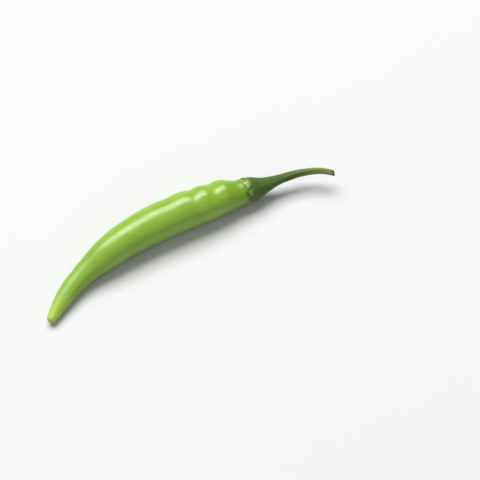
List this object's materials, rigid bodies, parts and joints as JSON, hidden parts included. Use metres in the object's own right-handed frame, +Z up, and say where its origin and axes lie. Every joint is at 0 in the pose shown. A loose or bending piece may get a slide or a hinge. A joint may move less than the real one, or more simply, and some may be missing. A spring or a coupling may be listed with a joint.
{
  "type": "green chilli pepper",
  "caption": "Long slender green chilli pepper with a curved tapering pod, a toothed calyx cap and a thin curved stem, lying on its side.",
  "frame": {"origin": "bottom centre of the bounding box, on the surface the pepper lies on", "axes": "+X from the blossom tip towards the picked end of the stem, +Y towards the outer side of the bend, +Z up"},
  "size_m": [0.1332, 0.0251, 0.0156],
  "materials": {
    "pod_skin": "waxy fresh green skin",
    "calyx_skin": "dull green, finely ribbed",
    "stem_skin": "dull green, ribbed, browned at the picked end"
  },
  "bodies": {
    "root": {"pod": "pod_skin", "calyx": "calyx_skin", "stem": "stem_skin"}
  },
  "joints": []
}
